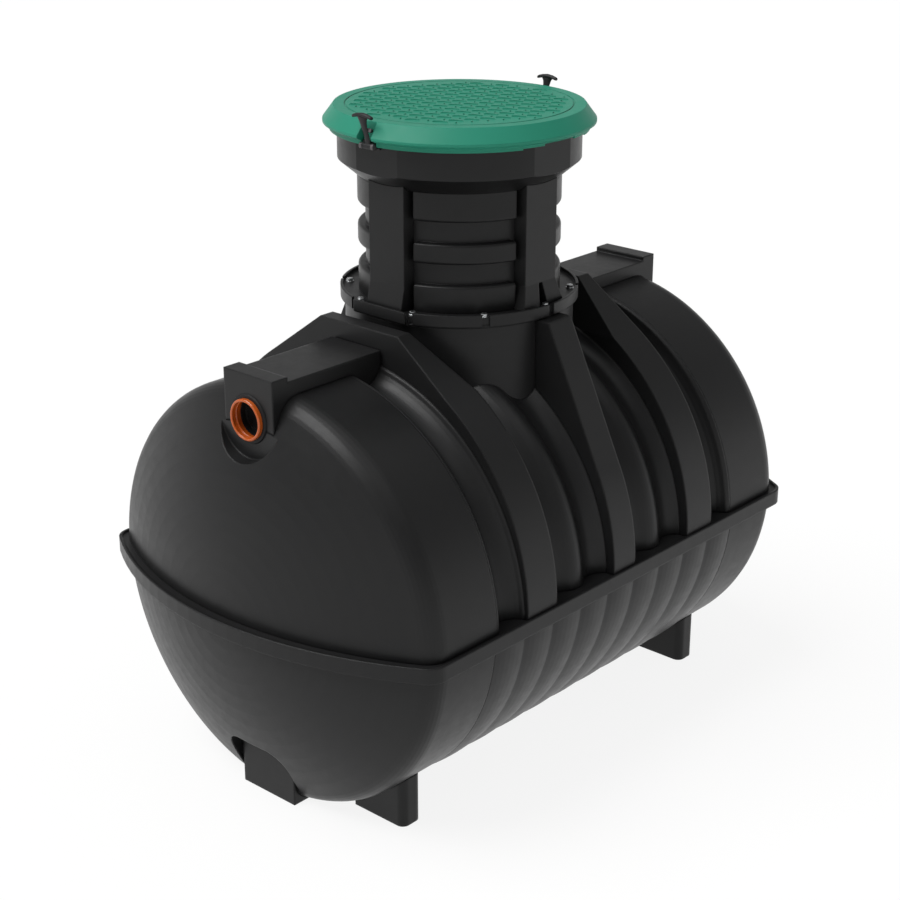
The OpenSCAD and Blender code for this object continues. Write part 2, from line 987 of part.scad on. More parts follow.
// One pilaster on the +X side of the riser, with its flared foot
module pilaster(widen) {
    foot = pilaster_half + widen;
    difference() {
        union() {
            translate([0, -pilaster_half, plate_z])
                cube([pilaster_face, 2 * pilaster_half, collar_wall_z - plate_z]);
            intersection() {
                translate([0, foot, 0])
                    rotate([90, 0, 0])
                        linear_extrude(2 * foot)
                            polygon([
                                [0, plate_z],
                                [pilaster_face + pilaster_flare, plate_z],
                                [pilaster_face, flare_z],
                                [0, flare_z]
                            ]);
                foot_prism(widen);
            }
        }
        translate([0, 0, plate_z - 1])
            cylinder(r = riser_core, h = far, $fn = 120);
        collar_solid();
    }
}

// Slot up the foot of a pilaster that makes room for a bolt
module bolt_slot() {
    translate([riser_core + wall, 0, plate_z - 1])
        rotate([90, 0, 90])
            linear_extrude(far)
                polygon([
                    [-foot_slot / 2, 0],
                    [foot_slot / 2, 0],
                    [foot_slot_top / 2, flare_height],
                    [-foot_slot_top / 2, flare_height]
                ]);
}

module riser_pilasters() {
    color(plastic) {
        for (turn = [0, 180])
            rotate(turn)
                pilaster(0);
        for (turn = [90, 270])
            rotate(turn)
                difference() {
                    pilaster(flare_widen);
                    bolt_slot();
                }
    }
}

module collar_solid() {
    intersection() {
        rotate_extrude($fn = 120)
            polygon([
                [0, collar_z],
                [riser_radius, collar_z],
                [collar_radius, collar_wall_z],
                [collar_radius, collar_top],
                [0, collar_top]
            ]);
        translate([-collar_flat, -collar_flat, collar_z - 1])
            cube([2 * collar_flat, 2 * collar_flat, far]);
    }
}

module riser_collar() {
    color(plastic)
        difference() {
            collar_solid();
            rotate_extrude($fn = 120)
                polygon([
                    [0, collar_z - 1],
                    [riser_core - wall, collar_z - 1],
                    [riser_core - wall, collar_z + collar_floor],
                    [collar_bore, collar_wall_z + collar_floor],
                    [collar_bore, collar_top + 1],
                    [0, collar_top + 1]
                ]);
        }
}

// Lid

function lid_z(r) = lid_top - lid_crown * pow(r / lid_top_radius, 2);

module lid_blank() {
    groove = lid_groove;
    rotate_extrude($fn = 144)
        polygon(concat(
            [for (i = [0:6]) let (r = (lid_ring_radius - groove) * i / 6) [r, lid_z(r)]],
            [
                [lid_ring_radius - groove, lid_z(lid_ring_radius) - groove],
                [lid_ring_radius + groove, lid_z(lid_ring_radius) - groove],
                [lid_ring_radius + groove, lid_z(lid_ring_radius + groove)],
                [lid_top_radius, lid_bevel_z],
                [lid_radius, lid_edge_top],
                [lid_radius, lid_edge_low],
                [skirt_radius, lid_edge_low - (lid_radius - skirt_radius) / 2],
                [skirt_radius, skirt_z],
                [skirt_radius - skirt_thick, skirt_z],
                [skirt_radius - skirt_thick, collar_top],
                [lid_seat, collar_top],
                [lid_seat, lid_bevel_z - lid_thick],
                [0, lid_top - lid_thick]
            ]
        ));
}

// Notch in the lid's edge that a latch's strap lies in, at +X
module latch_notch() {
    translate([lid_radius - notch_depth, 0, 0])
        rotate([90, 0, 90])
            linear_extrude(far)
                polygon([
                    [-notch_foot / 2, skirt_z - 1],
                    [notch_foot / 2, skirt_z - 1],
                    [notch_width / 2, lid_bevel_z + 1],
                    [-notch_width / 2, lid_bevel_z + 1]
                ]);
}

// Gap in the skirt, at +Y, as an angle to each side and a height from the skirt's foot
module skirt_cut(half_angle, height) {
    translate([0, 0, skirt_z - 1])
        rotate_extrude(angle = 2 * half_angle, start = 90 - half_angle)
            translate([skirt_radius - skirt_thick - 2, 0])
                square([skirt_thick + 4, height + 1]);
}

module lid() {
    color(lid_green)
        difference() {
            lid_blank();
            for (inlet = [false, true])
                at_end(inlet)
                    latch_notch();
            for (front = [false, true])
                at_side(front) {
                    skirt_cut(skirt_gap, skirt_drop - skirt_step);
                    skirt_cut(skirt_step_gap, skirt_step);
                }
        }
}

// Latches, their pins and their brackets

module on_pin(inlet) {
    at_end(inlet)
        translate([pin_reach, 0, pin_z])
            rotate([90, 0, 0])
                children();
}

module latch_bracket(inlet) {
    half = ear_half + ear_thick;
    foot = pin_reach - collar_flat;
    color(rubber)
        difference() {
            on_pin(inlet) {
                for (side = [-1, 1])
                    translate([0, 0, side * (ear_half + ear_thick / 2)])
                        linear_extrude(ear_thick, center = true) {
                            circle(eye_radius);
                            translate([-foot, -eye_radius])
                                square([foot, 2 * eye_radius]);
                        }
                translate([-foot, -eye_radius - bracket_plate, -half])
                    cube([bracket_plate, 2 * eye_radius + bracket_plate, 2 * half]);
            }
            on_pin(inlet)
                cylinder(r = pin_radius, h = 3 * half, center = true);
        }
}

module latch_pin(inlet) {
    half = ear_half + ear_thick;
    color(steel)
        on_pin(inlet) {
            cylinder(r = pin_radius, h = 2 * half, center = true);
            for (side = [-1, 1])
                translate([0, 0, side * (half + pin_head_length / 2)])
                    cylinder(r = pin_head_radius, h = pin_head_length, center = true);
        }
}

// Handle seen along the lid's radius, with an arched back
module handle_face() {
    intersection() {
        translate([0, handle_thick - handle_arc])
            circle(handle_arc);
        translate([-handle_width / 2, 0])
            square([handle_width, handle_thick + 1]);
    }
}

module latch(inlet) {
    reach = strap_thick / 2 + handle_grip;
    color(rubber)
        difference() {
            on_pin(inlet)
                rotate(-latch_lean) {
                    linear_extrude(strap_width, center = true) {
                        circle(eye_radius);
                        translate([-strap_thick / 2, 0])
                            square([strap_thick, handle_height + 1]);
                    }
                    translate([-reach, handle_height, 0])
                        rotate([0, 90, 0])
                            linear_extrude(reach + strap_thick)
                                handle_face();
                }
            on_pin(inlet)
                cylinder(r = pin_radius + pin_clearance, h = 2 * strap_width, center = true);
        }
}

lower_barrel();
lower_end(true);  // lower_end_inlet
lower_end(false);  // lower_end_outlet
rim_flange();
upper_end(true);  // upper_end_inlet
upper_end(false);  // upper_end_outlet
upper_bay(true);  // upper_bay_inlet
upper_bay(false);  // upper_bay_outlet
groove_bays(true, true);  // groove_bays_inlet_front
groove_bays(true, false);  // groove_bays_inlet_back
groove_bays(false, true);  // groove_bays_outlet_front
groove_bays(false, false);  // groove_bays_outlet_back
outer_rib(true);  // rib_inlet
outer_rib(false);  // rib_outlet
middle_rib(true);  // rib_middle_front
middle_rib(false);  // rib_middle_back
hood(true);  // hood_inlet
hood(false);  // hood_outlet
socket(true);  // socket_inlet
socket(false);  // socket_outlet
seal(true);  // seal_inlet
seal(false);  // seal_outlet
end_foot(true);  // foot_end_inlet
end_foot(false);  // foot_end_outlet
side_foot(true, true);  // foot_inlet_front
side_foot(true, false);  // foot_inlet_back
side_foot(false, true);  // foot_outlet_front
side_foot(false, false);  // foot_outlet_back
neck();
neck_flange();
riser_gasket();
riser_flange();
riser_wall();
riser_pilasters();
riser_collar();
lid();
latch_bracket(true);  // latch_bracket_inlet
latch_bracket(false);  // latch_bracket_outlet
latch_pin(true);  // latch_pin_inlet
latch_pin(false);  // latch_pin_outlet
latch(true);  // latch_inlet
latch(false);  // latch_outlet
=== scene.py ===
import json
import math

import bmesh
import bpy
from mathutils import Matrix, Vector


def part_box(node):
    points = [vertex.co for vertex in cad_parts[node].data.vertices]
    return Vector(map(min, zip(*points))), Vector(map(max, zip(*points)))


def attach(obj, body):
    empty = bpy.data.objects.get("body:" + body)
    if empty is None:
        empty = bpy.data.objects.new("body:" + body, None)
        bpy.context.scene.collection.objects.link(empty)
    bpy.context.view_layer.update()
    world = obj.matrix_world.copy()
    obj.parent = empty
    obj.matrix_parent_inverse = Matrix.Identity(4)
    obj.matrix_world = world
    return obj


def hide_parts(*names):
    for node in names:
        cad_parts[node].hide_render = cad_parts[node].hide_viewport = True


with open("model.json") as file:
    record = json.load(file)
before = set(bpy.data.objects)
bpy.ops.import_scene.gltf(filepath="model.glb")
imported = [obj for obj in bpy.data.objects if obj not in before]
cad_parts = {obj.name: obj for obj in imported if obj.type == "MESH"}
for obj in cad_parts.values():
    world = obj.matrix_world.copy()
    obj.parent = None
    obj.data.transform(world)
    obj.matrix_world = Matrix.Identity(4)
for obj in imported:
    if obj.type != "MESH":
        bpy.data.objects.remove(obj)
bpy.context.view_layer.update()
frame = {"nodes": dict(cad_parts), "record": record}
scene = bpy.context.scene

# Camera

cameraView = {
    "place": (-3.9979, -3.5534, 2.9662),
    "azimuth": 41.932,      # degrees from +X to the line of sight
    "elevation": 21.599,    # degrees down
    "lens": 73.47,
    "farClip": 100,
}


def makeCamera(view):
    turn, dip = math.radians(view["azimuth"]), math.radians(view["elevation"])
    sight = Vector((math.cos(turn) * math.cos(dip), math.sin(turn) * math.cos(dip),
                    -math.sin(dip)))
    camera = bpy.data.objects.new("camera", bpy.data.cameras.new("camera"))
    scene.collection.objects.link(camera)
    camera.data.lens = view["lens"]
    camera.data.clip_end = view["farClip"]
    camera.location = view["place"]
    camera.rotation_euler = sight.to_track_quat("-Z", "Y").to_euler()
    scene.camera = camera


makeCamera(cameraView)
print("camera placed")

# Material tools

noiseLow, noiseHigh = 0.3, 0.7      # part of a noise that the gloss follows
edgeSamples = 6                     # rays that round a moulded edge


# An sRGB hex value as a linear colour
def linearColour(code):
    parts = [int(code[i:i + 2], 16) / 255 for i in (1, 3, 5)]
    return tuple(part / 12.92 if part <= 0.04045 else ((part + 0.055) / 1.055) ** 2.4
                 for part in parts) + (1,)


# A node with its settings, and its inputs linked from (node, output)
def addNode(tree, kind, settings=None, links=None):
    node = tree.nodes.new("ShaderNode" + kind)
    for name, value in (settings or {}).items():
        if isinstance(name, str) and hasattr(node, name):
            setattr(node, name, value)
        else:
            node.inputs[name].default_value = value
    for name, (source, output) in (links or {}).items():
        tree.links.new(source.outputs[output], node.inputs[name])
    return node


def newMaterial(name):
    material = bpy.data.materials.new(name)
    material.use_nodes = True
    tree = material.node_tree
    shader = tree.nodes["Principled BSDF"]
    place = addNode(tree, "TexCoord")
    return material, tree, shader, place


# Pattern scale for a real size in mm
def perMetre(mm):
    return 1000 / mm


# Moulded polyethylene: satin and nearly even, with a faint orange peel, soft cloudy
# patches, and every moulded edge slightly rounded
def mouldedPlastic(name, look):
    material, tree, shader, place = newMaterial(name)
    clouds = addNode(tree, "TexNoise", {"Scale": perMetre(look["cloudSize"]), "Detail": 4.0},
                     {"Vector": (place, "Object")})
    scuffs = addNode(tree, "TexNoise", {"Scale": perMetre(look["scuffSize"]), "Detail": 6.0,
                                        "Roughness": 0.65}, {"Vector": (place, "Object")})
    colour = addNode(tree, "Mix", {"data_type": "RGBA", 6: linearColour(look["dark"]),
                                   7: linearColour(look["light"])}, {0: (clouds, "Fac")})
    tree.links.new(colour.outputs[2], shader.inputs["Base Color"])
    gloss = addNode(tree, "MapRange", {"From Min": noiseLow, "From Max": noiseHigh,
                                       "To Min": look["roughLow"], "To Max": look["roughHigh"]},
                    {"Value": (scuffs, "Fac")})
    tree.links.new(gloss.outputs["Result"], shader.inputs["Roughness"])
    edges = addNode(tree, "Bevel", {"samples": edgeSamples, "Radius": look["edge"] / 1000})
    peel = addNode(tree, "TexNoise", {"Scale": perMetre(look["peelSize"]), "Detail": 2.0},
                   {"Vector": (place, "Object")})
    bump = addNode(tree, "Bump", {"Strength": 1.0, "Distance": look["peelHeight"] / 1000},
                   {"Height": (peel, "Fac"), "Normal": (edges, "Normal")})
    tree.links.new(bump.outputs["Normal"], shader.inputs["Normal"])
    shader.inputs["Specular IOR Level"].default_value = look["specular"]
    return material


shellLook = {
    "dark": "#19191a", "light": "#1f1f1f",
    "cloudSize": 260, "scuffSize": 35,
    "roughLow": 0.34, "roughHigh": 0.42, "specular": 0.24,
    "edge": 8,                              # mm
    "peelSize": 7, "peelHeight": 0.04,      # grain drawn coarse, to show
}
riserLook = dict(shellLook, dark="#171718", light="#1c1c1c", edge=4, cloudSize=180)
lidLook = {
    "dark": "#268269", "light": "#2b8a72",
    "cloudSize": 200, "scuffSize": 30,
    "roughLow": 0.42, "roughHigh": 0.50, "specular": 0.2,
    "edge": 4,
    "peelSize": 7, "peelHeight": 0.04,
}


# Extruded drainage pipe plastic: brighter and glossier, with faint rings
def extrudedPipe(name, look):
    material, tree, shader, place = newMaterial(name)
    clouds = addNode(tree, "TexNoise", {"Scale": perMetre(look["cloudSize"]), "Detail": 3.0},
                     {"Vector": (place, "Object")})
    colour = addNode(tree, "Mix", {"data_type": "RGBA", 6: linearColour(look["dark"]),
                                   7: linearColour(look["light"])}, {0: (clouds, "Fac")})
    tree.links.new(colour.outputs[2], shader.inputs["Base Color"])
    # a wave of scale 1 repeats every pi / 10 metres
    rings = addNode(tree, "TexWave", {"bands_direction": "X",
                                      "Scale": perMetre(look["ringPitch"]) * math.pi / 10,
                                      "Distortion": 1.5, "Detail": 2.0},
                    {"Vector": (place, "Object")})
    edges = addNode(tree, "Bevel", {"samples": edgeSamples, "Radius": look["edge"] / 1000})
    bump = addNode(tree, "Bump", {"Strength": 1.0, "Distance": look["ringHeight"] / 1000},
                   {"Height": (rings, "Fac"), "Normal": (edges, "Normal")})
    tree.links.new(bump.outputs["Normal"], shader.inputs["Normal"])
    shader.inputs["Roughness"].default_value = look["roughness"]
    return material


pipeLook = {
    "dark": "#b04f17", "light": "#bd5a1f", "cloudSize": 60,
    "ringPitch": 9.425, "ringHeight": 0.05,     # rings drawn coarse, to show
    "roughness": 0.22, "edge": 2,
}


# Moulded rubber: dull and dark, with a fine grit and a dusty bloom in patches
def mouldedRubber(name, look):
    material, tree, shader, place = newMaterial(name)
    bloom = addNode(tree, "TexNoise", {"Scale": perMetre(look["bloomSize"]), "Detail": 5.0},
                    {"Vector": (place, "Object")})
    colour = addNode(tree, "Mix", {"data_type": "RGBA", 6: linearColour(look["dark"]),
                                   7: linearColour(look["light"])}, {0: (bloom, "Fac")})
    tree.links.new(colour.outputs[2], shader.inputs["Base Color"])
    edges = addNode(tree, "Bevel", {"samples": edgeSamples, "Radius": look["edge"] / 1000})
    grit = addNode(tree, "TexNoise", {"Scale": perMetre(look["gritSize"]), "Detail": 2.0},
                   {"Vector": (place, "Object")})
    bump = addNode(tree, "Bump", {"Strength": 1.0, "Distance": look["gritHeight"] / 1000},
                   {"Height": (grit, "Fac"), "Normal": (edges, "Normal")})
    tree.links.new(bump.outputs["Normal"], shader.inputs["Normal"])
    shader.inputs["Roughness"].default_value = look["roughness"]
    shader.inputs["Specular IOR Level"].default_value = look["specular"]
    return material


sealLook = {
    "dark": "#0d0d0e", "light": "#151516", "bloomSize": 25,
    "gritSize": 2.5, "gritHeight": 0.08,        # grit drawn coarse, to show
    "roughness": 0.62, "specular": 0.35, "edge": 2,
}
latchLook = {
    "dark": "#141315", "light": "#1c1b1d", "bloomSize": 18,
    "gritSize": 2.5, "gritHeight": 0.06,
    "roughness": 0.5, "specular": 0.35, "edge": 3,
}


# Zinc plated steel: bright and slightly milky, with the plate's soft spangle
def zincPlate(name, look):
    material, tree, shader, place = newMaterial(name)
    spangle = addNode(tree, "TexVoronoi", {"Scale": perMetre(look["spangleSize"])},
                      {"Vector": (place, "Object")})
    colour = addNode(tree, "Mix", {"data_type": "RGBA", 6: linearColour(look["dark"]),
                                   7: linearColour(look["light"])}, {0: (spangle, "Distance")})
    tree.links.new(colour.outputs[2], shader.inputs["Base Color"])
    gloss = addNode(tree, "MapRange", {"To Min": look["roughLow"], "To Max": look["roughHigh"]},
                    {"Value": (spangle, "Distance")})
    tree.links.new(gloss.outputs["Result"], shader.inputs["Roughness"])
    edges = addNode(tree, "Bevel", {"samples": edgeSamples, "Radius": look["edge"] / 1000})
    tree.links.new(edges.outputs["Normal"], shader.inputs["Normal"])
    shader.inputs["Metallic"].default_value = 1.0
    return material


zincLook = {
    "dark": "#a9abad", "light": "#cfd1d2", "spangleSize": 4,
    "roughLow": 0.22, "roughHigh": 0.42, "edge": 1,
}
pinLook = {     # dulled by weather
    "dark": "#5b5759", "light": "#777375", "spangleSize": 3,
    "roughLow": 0.45, "roughHigh": 0.6, "edge": 2,
}

finishes = {
    "black_shell": mouldedPlastic("moulded_black_polyethylene_satin", shellLook),
    "black_riser": mouldedPlastic("moulded_black_polyethylene_riser", riserLook),
    "green_lid": mouldedPlastic("moulded_green_polyethylene_satin", lidLook),
    "orange_pipe": extrudedPipe("extruded_orange_drainage_pipe", pipeLook),
    "seal_rubber": mouldedRubber("moulded_black_seal_rubber", sealLook),
    "latch_rubber": mouldedRubber("moulded_black_latch_rubber", latchLook),
    "steel_pin": zincPlate("zinc_plated_steel", zincLook),
}
dullPin = zincPlate("weathered_zinc_plated_steel", pinLook)
print("materials made")

# The solids keep their shape and take the finish of their slot

for part in frame["record"]["subparts"]:
    solid = frame["nodes"][part["node"]]
    solid.data.materials.clear()
    finish = dullPin if part["node"].startswith("latch_pin") else finishes[part["material_slot"]]
    solid.data.materials.append(finish)
print("solids dressed")

# Piece tools

near = 1e-5         # metres within which two heights count as one
rimAngle = 1        # radians; an end's rim bends more than this, a round side less


# Mesh data in the same order at every run, which bevel, spin and solidify don't keep
def orderedData(name, mesh):
    corners = sorted(mesh.verts, key=lambda vertex: vertex.co[:])
    number = {corner: i for i, corner in enumerate(corners)}
    rings = []
    for face in mesh.faces:
        ring = [number[vertex] for vertex in face.verts]
        first = ring.index(min(ring))
        rings.append(ring[first:] + ring[:first])
    data = bpy.data.meshes.new(name)
    data.from_pydata([corner.co for corner in corners], [], sorted(rings))
    return data


# Closes and turns the mesh, and makes it a piece that rides on a body
def addPiece(name, mesh, slotName, body="tank", smoothAngle=35):
    bmesh.ops.remove_doubles(mesh, verts=mesh.verts, dist=1e-6)
    bmesh.ops.recalc_face_normals(mesh, faces=mesh.faces)
    data = orderedData(name, mesh)
    mesh.free()
    piece = bpy.data.objects.new(name, data)
    scene.collection.objects.link(piece)
    data.materials.append(finishes[slotName])
    data.shade_smooth()
    data.set_sharp_from_angle(angle=math.radians(smoothAngle))
    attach(piece, body)
    return piece


# Edges at some vertices, each once
def edgesOf(vertices):
    return list(dict.fromkeys(edge for vertex in vertices for edge in vertex.link_edges))


def roundEdges(mesh, edges, width, segments=2):
    bmesh.ops.bevel(mesh, geom=edges, offset=width, offset_type="OFFSET", affect="EDGES",
                    segments=segments, profile=0.5, material=-1)


# Bolts that hold the riser's flange on the neck

flangeBolt = {
    "count": 10, "firstAngle": 90, "circle": 0.334,
    "headRadius": 0.0104, "headHeight": 0.0075, "headEdge": 0.0012,
    "washerRadius": 0.0125, "washerHeight": 0.0022, "washerEdge": 0.0007,
    "headSides": 6, "washerSides": 24,
    "lipRise": 0.011,       # the flange's lip stands this much over the plate
}


def makeBolts(bolt):
    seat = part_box("riser_flange")[1].z - bolt["lipRise"]
    mesh = bmesh.new()
    for i in range(bolt["count"]):
        angle = math.radians(bolt["firstAngle"] + 360 / bolt["count"] * i)
        centre = Matrix.Translation((bolt["circle"] * math.cos(angle),
                                     bolt["circle"] * math.sin(angle), seat))
        for part, base in (("washer", 0), ("head", bolt["washerHeight"])):
            radius, height, edge, sides = (bolt[part + size] for size in
                                           ("Radius", "Height", "Edge", "Sides"))
            lift = Matrix.Translation((0, 0, base + height / 2))
            made = bmesh.ops.create_cone(mesh, cap_ends=True, segments=sides, radius1=radius,
                                         radius2=radius, depth=height, matrix=centre @ lift)
            top = max(v.co.z for v in made["verts"])
            rim = [e for e in edgesOf(made["verts"])
                   if all(abs(v.co.z - top) < near for v in e.verts)]
            roundEdges(mesh, rim, edge)
    addPiece("flange_bolts", mesh, "steel_pin")


makeBolts(flangeBolt)
print("bolts made")

# Rolled lip of each socket's mouth, the ring behind it, and a black sleeve deeper in that is
# painted shade for the socket's dark depth

pipeInside = {
    "bore": 0.0552, "segments": 64, "sides": 12,
    "rings": (
        # depth behind the mouth, radius of the ring, radius of its section
        (0.0030, 0.0556, 0.0038),
        (0.0190, 0.0548, 0.0034),
    ),
    "shadeSleeveStart": 0.034, "shadeSleeveEnd": 0.0575,    # depths behind the mouth
    "shadeSleeveGap": 0.0006, "shadeSleeveThick": 0.00048,
}


def makePipeInside(end, inside):
    low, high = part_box("socket_" + end)
    outward = 1 if low.x + high.x > 0 else -1
    mouth = high.x if outward > 0 else low.x
    level = (low.z + high.z) / 2
    lying = Matrix.Rotation(math.radians(90 * outward), 4, "Y")

    lips = bmesh.new()
    for depth, radius, thick in inside["rings"]:
        section = bmesh.ops.create_circle(lips, segments=inside["sides"], radius=thick,
                                          matrix=Matrix.Translation((radius, 0, -depth))
                                          @ Matrix.Rotation(math.radians(90), 4, "X"))["verts"]
        bmesh.ops.spin(lips, geom=section + edgesOf(section), cent=(0, 0, 0), axis=(0, 0, 1),
                       angle=2 * math.pi, steps=inside["segments"], use_merge=True)
    bmesh.ops.transform(lips, verts=lips.verts,
                        matrix=Matrix.Translation((mouth, 0, level)) @ lying)
    addPiece("socket_lips_" + end, lips, "orange_pipe")

    # A thin black sleeve closed at its back, deep in the bore: painted shade where the socket's
    # inside falls dark, not a real pipe
    shadeSleeve = bmesh.new()
    deep = inside["shadeSleeveEnd"] - inside["shadeSleeveStart"]
    radius = inside["bore"] - inside["shadeSleeveGap"]
    bmesh.ops.create_cone(shadeSleeve, cap_ends=True, segments=inside["segments"], radius1=radius,
                          radius2=radius, depth=deep)
    front = [f for f in shadeSleeve.faces if f.calc_center_median().z > deep / 2 - near]
    bmesh.ops.delete(shadeSleeve, geom=front, context="FACES_ONLY")
    bmesh.ops.solidify(shadeSleeve, geom=shadeSleeve.faces, thickness=inside["shadeSleeveThick"])
    bmesh.ops.transform(shadeSleeve, verts=shadeSleeve.verts, matrix=Matrix.Translation(
        (mouth - outward * (inside["shadeSleeveStart"] + deep / 2), 0, level)) @ lying)
    addPiece("painted_shade_sleeve_" + end, shadeSleeve, "black_shell")


for end in ("inlet", "outlet"):
    makePipeInside(end, pipeInside)
print("socket insides made")

# Raised tread on the lid: low bent bars with a short bar between, in staggered rows

lidTread = {
    "radius": 0.322,            # the tread stays inside the lid's ring
    "pitch": 0.0463, "rowPitch": 0.0519, "stagger": 0.028,
    "turn": -30.4,              # degrees from +X to the rows
    "bars": (
        # place in the net, angle to the rows, length, width, bend
        (0.0000, 0.0000, -31, 0.048, 0.0090, 0.0105),
        (0.0174, 0.0224, 67, 0.011, 0.0050, 0.0000),
    ),
    "height": 0.0030, "sunk": 0.0015,
    "top": 0.84,                # share of a bar's foot that its top has
    "bendBack": 0.3,            # share of the bend that lies behind the bar's place
    "inset": 1 / 3,             # share of a bar's length kept between its place and the radius
    "reach": 2.2,               # half width of the net over the radius, as the rows lean
    "segments": 14, "crown": 0.0025, "crownRadius": 0.370,
}


def makeTread(tread):
    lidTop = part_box("lid")[1].z
    mesh = bmesh.new()
    turn = Matrix.Rotation(math.radians(tread["turn"]), 4, "Z")
    along = Vector((tread["pitch"], 0, 0))
    nextRow = Vector((tread["stagger"], tread["rowPitch"], 0))
    depth = tread["height"] + tread["sunk"]
    reach = int(tread["reach"] * tread["radius"] / tread["pitch"])
    for row in range(-reach, reach + 1):
        for column in range(-reach, reach + 1):
            for x, y, angle, length, width, bend in tread["bars"]:
                middle = along * column + nextRow * row + Vector((x, y, 0))
                if middle.length > tread["radius"] - length * tread["inset"]:
                    continue
                drop = tread["crown"] * (middle.length / tread["crownRadius"]) ** 2
                lift = lidTop - drop + depth / 2 - tread["sunk"]
                bar = bmesh.ops.create_cone(mesh, cap_ends=True, segments=tread["segments"],
                                            radius1=1, radius2=tread["top"], depth=depth,
                                            matrix=Matrix.Diagonal((length / 2, width / 2, 1, 1)))
                for vertex in bar["verts"]:
                    share = 2 * vertex.co.x / length
                    vertex.co.y -= bend * (share ** 2 - tread["bendBack"])
                place = (turn @ Matrix.Translation(middle + Vector((0, 0, lift)))
                         @ Matrix.Rotation(math.radians(angle), 4, "Z"))
                bmesh.ops.transform(mesh, matrix=place, verts=bar["verts"])
    addPiece("lid_tread", mesh, "green_lid")


makeTread(lidTread)
print("tread made")

# Rubber pulls of the latches: a strap drawn in at its waist under a T handle with thin tips

latchPull = {
    "eyeRadius": 0.0086, "eyeWidth": 0.0248, "eyeSides": 32,
    "sides": 16, "smoothAngle": 50,
    "strap": (
        # outwards, sideways, height over the pin, half width, half thickness
        (0.0000, 0.0030, 0.000, 0.0095, 0.0042),
        (0.0020, 0.0030, 0.012, 0.0096, 0.0040),
        (0.0045, 0.0024, 0.026, 0.0096, 0.0038),
        (0.0080, 0.0014, 0.040, 0.0100, 0.0038),
        (0.0120, 0.0004, 0.053, 0.0112, 0.0040),
        (0.0155, 0.0000, 0.066, 0.0126, 0.0048),
        (0.0178, 0.0000, 0.076, 0.0150, 0.0056),
        (0.0190, 0.0000, 0.085, 0.0210, 0.0060),
    ),
    "handleOut": 0.0190, "handleHeight": 0.0905, "handleDroop": 0.0068,
    "handle": (
        # share of the half length, half depth, half height
        (-1.00, 0.0036, 0.0024), (-0.97, 0.0058, 0.0042), (-0.88, 0.0068, 0.0050),
        (-0.50, 0.0076, 0.0054), (0.00, 0.0080, 0.0060), (0.50, 0.0076, 0.0054),
        (0.88, 0.0068, 0.0050), (0.97, 0.0058, 0.0042), (1.00, 0.0036, 0.0024),
    ),
    "handleHalf": 0.0370,
    # roller behind the strap
    "keeper": (0.0038, 0.0075, 0.046), "keeperRadius": 0.0058, "keeperWidth": 0.027,
    "keeperSides": 24, "keeperEdge": 0.001,
}


# Grows a closed bar through sections given as matrices
def growBar(mesh, sections, sides):
    cap = bmesh.ops.create_circle(mesh, cap_ends=True, segments=sides, radius=1,
                                  matrix=sections[0])
    last = cap["verts"][0].link_faces[0]
    bmesh.ops.duplicate(mesh, geom=[last])      # stays as the first end's cap
    for before, after in zip(sections, sections[1:]):
        last = bmesh.ops.extrude_discrete_faces(mesh, faces=[last])["faces"][0]
        bmesh.ops.transform(mesh, matrix=after @ before.inverted(), verts=last.verts)


def makeLatch(end, pull):
    low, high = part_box("latch_pin_" + end)
    outward = 1 if low.x + high.x > 0 else -1
    toPin = Matrix.Translation((low + high) / 2) @ Matrix.Diagonal((outward, outward, 1, 1))
    across = Matrix.Rotation(math.radians(90), 4, "X")

    rubber = bmesh.new()
    bmesh.ops.create_cone(rubber, cap_ends=True, segments=pull["eyeSides"],
                          radius1=pull["eyeRadius"], radius2=pull["eyeRadius"],
                          depth=pull["eyeWidth"], matrix=across)
    strap = [Matrix.Translation((out, side, height)) @ Matrix.Diagonal((thick, wide, 1, 1))
             for out, side, height, wide, thick in pull["strap"]]
    growBar(rubber, strap, pull["sides"])
    handle = []
    for share, deep, tall in pull["handle"]:
        height = pull["handleHeight"] - pull["handleDroop"] * share ** 2
        middle = Matrix.Translation((pull["handleOut"], share * pull["handleHalf"], height))
        handle.append(middle @ across @ Matrix.Diagonal((deep, tall, 1, 1)))
    growBar(rubber, handle, pull["sides"])
    bmesh.ops.transform(rubber, matrix=toPin, verts=rubber.verts)
    piece = addPiece("latch_pull_" + end, rubber, "latch_rubber", end + "_latch",
                     pull["smoothAngle"])
    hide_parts("latch_" + end)

    steel = bmesh.new()
    bmesh.ops.create_cone(steel, cap_ends=True, segments=pull["keeperSides"],
                          radius1=pull["keeperRadius"], radius2=pull["keeperRadius"],
                          depth=pull["keeperWidth"],
                          matrix=Matrix.Translation(pull["keeper"]) @ across)
    rims = [e for e in steel.edges if e.calc_face_angle() > rimAngle]
    roundEdges(steel, rims, pull["keeperEdge"])
    bmesh.ops.transform(steel, matrix=toPin, verts=steel.verts)
    keeper = addPiece("latch_keeper_" + end, steel, "steel_pin", end + "_latch")
    keeper.data.materials[0] = dullPin


for end in ("inlet", "outlet"):
    makeLatch(end, latchPull)
print("latches made")

# Floor, studio light and background

studio = {
    "floorSize": 80, "floorColour": "#fbfbfa", "floorGlow": 0.88,
    "skyLight": 0.22,                       # strength of the plain light from around
    "wallFoot": 0, "ceilingStart": 20,      # degrees up, from the white wall to the dim ceiling
    "ceiling": 0.3,
    "suns": (
        # direction to the lamp, strength, softness in degrees
        ((-0.44, 0.29, 0.85), 2.7, 42),
        ((0.10, -0.15, 1.0), 0.5, 60),
    ),
}


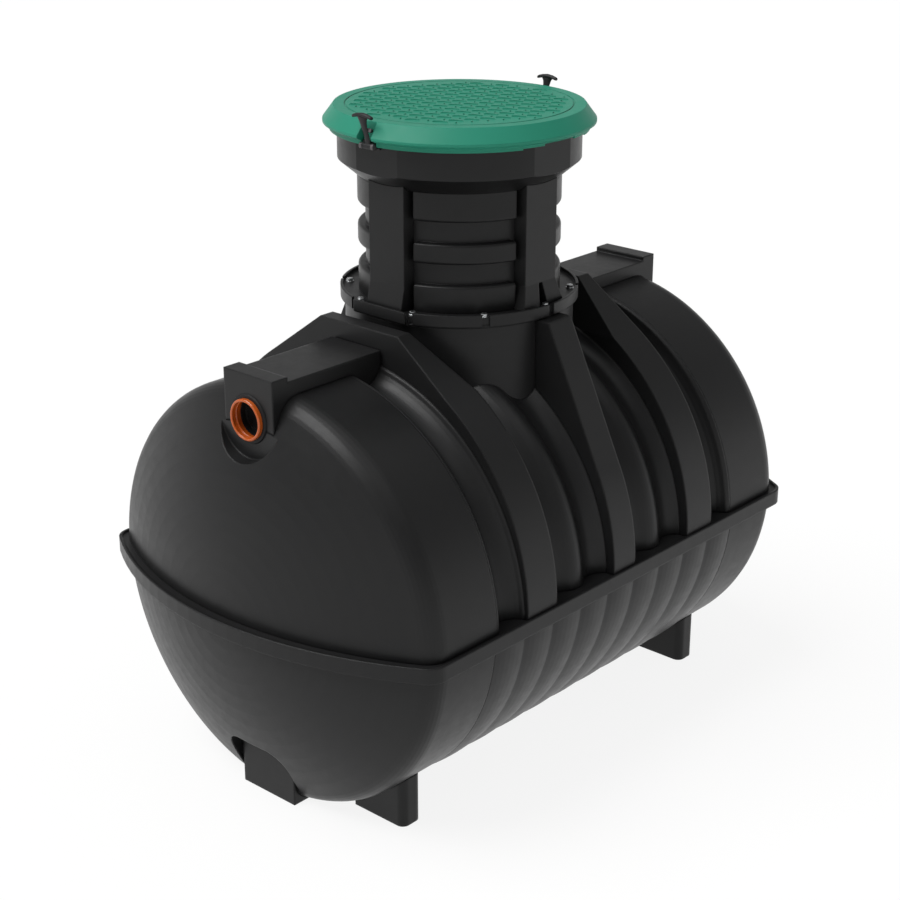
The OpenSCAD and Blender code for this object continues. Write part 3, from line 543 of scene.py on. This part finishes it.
# White for the eye, a room with a dim ceiling for gloss, and plain light for the rest
def makeWorld(look):
    world = bpy.data.worlds.new("studio")
    scene.world = world
    world.use_nodes = True
    tree = world.node_tree
    tree.nodes.clear()
    sky = addNode(tree, "Background", {"Color": (1, 1, 1, 1), "Strength": look["skyLight"]})
    white = addNode(tree, "Background", {"Color": (1, 1, 1, 1), "Strength": 1.0})
    place = addNode(tree, "TexCoord")
    height = addNode(tree, "SeparateXYZ", None, {0: (place, "Generated")})
    dimming = addNode(tree, "MapRange", {"From Min": math.sin(math.radians(look["wallFoot"])),
                                         "From Max": math.sin(math.radians(look["ceilingStart"])),
                                         "To Min": 1.0, "To Max": look["ceiling"]},
                      {"Value": (height, "Z")})
    room = addNode(tree, "Background", {"Color": (1, 1, 1, 1)}, {"Strength": (dimming, "Result")})
    rays = addNode(tree, "LightPath")
    mirrored = addNode(tree, "Math", {"operation": "MAXIMUM"},
                       {0: (rays, "Is Glossy Ray"), 1: (rays, "Is Transmission Ray")})
    around = addNode(tree, "MixShader", None, {0: (mirrored, "Value"),
                                               1: (sky, "Background"), 2: (room, "Background")})
    mixed = addNode(tree, "MixShader", None, {0: (rays, "Is Camera Ray"),
                                              1: (around, "Shader"), 2: (white, "Background")})
    addNode(tree, "OutputWorld", None, {"Surface": (mixed, "Shader")})


# Painted floor that keeps the tank's shadow and glows nearly white for the eye and for gloss
def makeFloor(look):
    mesh = bmesh.new()
    bmesh.ops.create_grid(mesh, x_segments=1, y_segments=1, size=look["floorSize"] / 2)
    data = bpy.data.meshes.new("floor")
    mesh.to_mesh(data)
    mesh.free()
    floor = bpy.data.objects.new("floor", data)
    scene.collection.objects.link(floor)
    material = bpy.data.materials.new("white_painted_studio_floor")
    material.use_nodes = True
    tree = material.node_tree
    tree.nodes.clear()
    rays = addNode(tree, "LightPath")
    seen = addNode(tree, "Math", {"operation": "MAXIMUM"},
                   {0: (rays, "Is Camera Ray"), 1: (rays, "Is Glossy Ray")})
    lit = addNode(tree, "Math", {"operation": "MAXIMUM"},
                  {0: (seen, "Value"), 1: (rays, "Is Transmission Ray")})
    share = addNode(tree, "Math", {"operation": "MULTIPLY", 1: look["floorGlow"]},
                    {0: (lit, "Value")})
    paint = addNode(tree, "BsdfDiffuse", {"Color": linearColour(look["floorColour"])})
    glow = addNode(tree, "Emission", {"Color": (1, 1, 1, 1), "Strength": 1.0})
    mixed = addNode(tree, "MixShader", None, {0: (share, "Value"), 1: (paint, "BSDF"),
                                              2: (glow, "Emission")})
    addNode(tree, "OutputMaterial", None, {"Surface": (mixed, "Shader")})
    data.materials.append(material)


def makeSuns(look):
    for i, (direction, strength, softness) in enumerate(look["suns"]):
        lamp = bpy.data.lights.new(f"sun_{i}", "SUN")
        lamp.energy = strength
        lamp.angle = math.radians(softness)
        holder = bpy.data.objects.new(f"sun_{i}", lamp)
        scene.collection.objects.link(holder)
        holder.rotation_euler = Vector(direction).to_track_quat("Z", "Y").to_euler()


makeWorld(studio)
makeFloor(studio)
makeSuns(studio)
scene.view_settings.view_transform = "Standard"
print("studio lit")
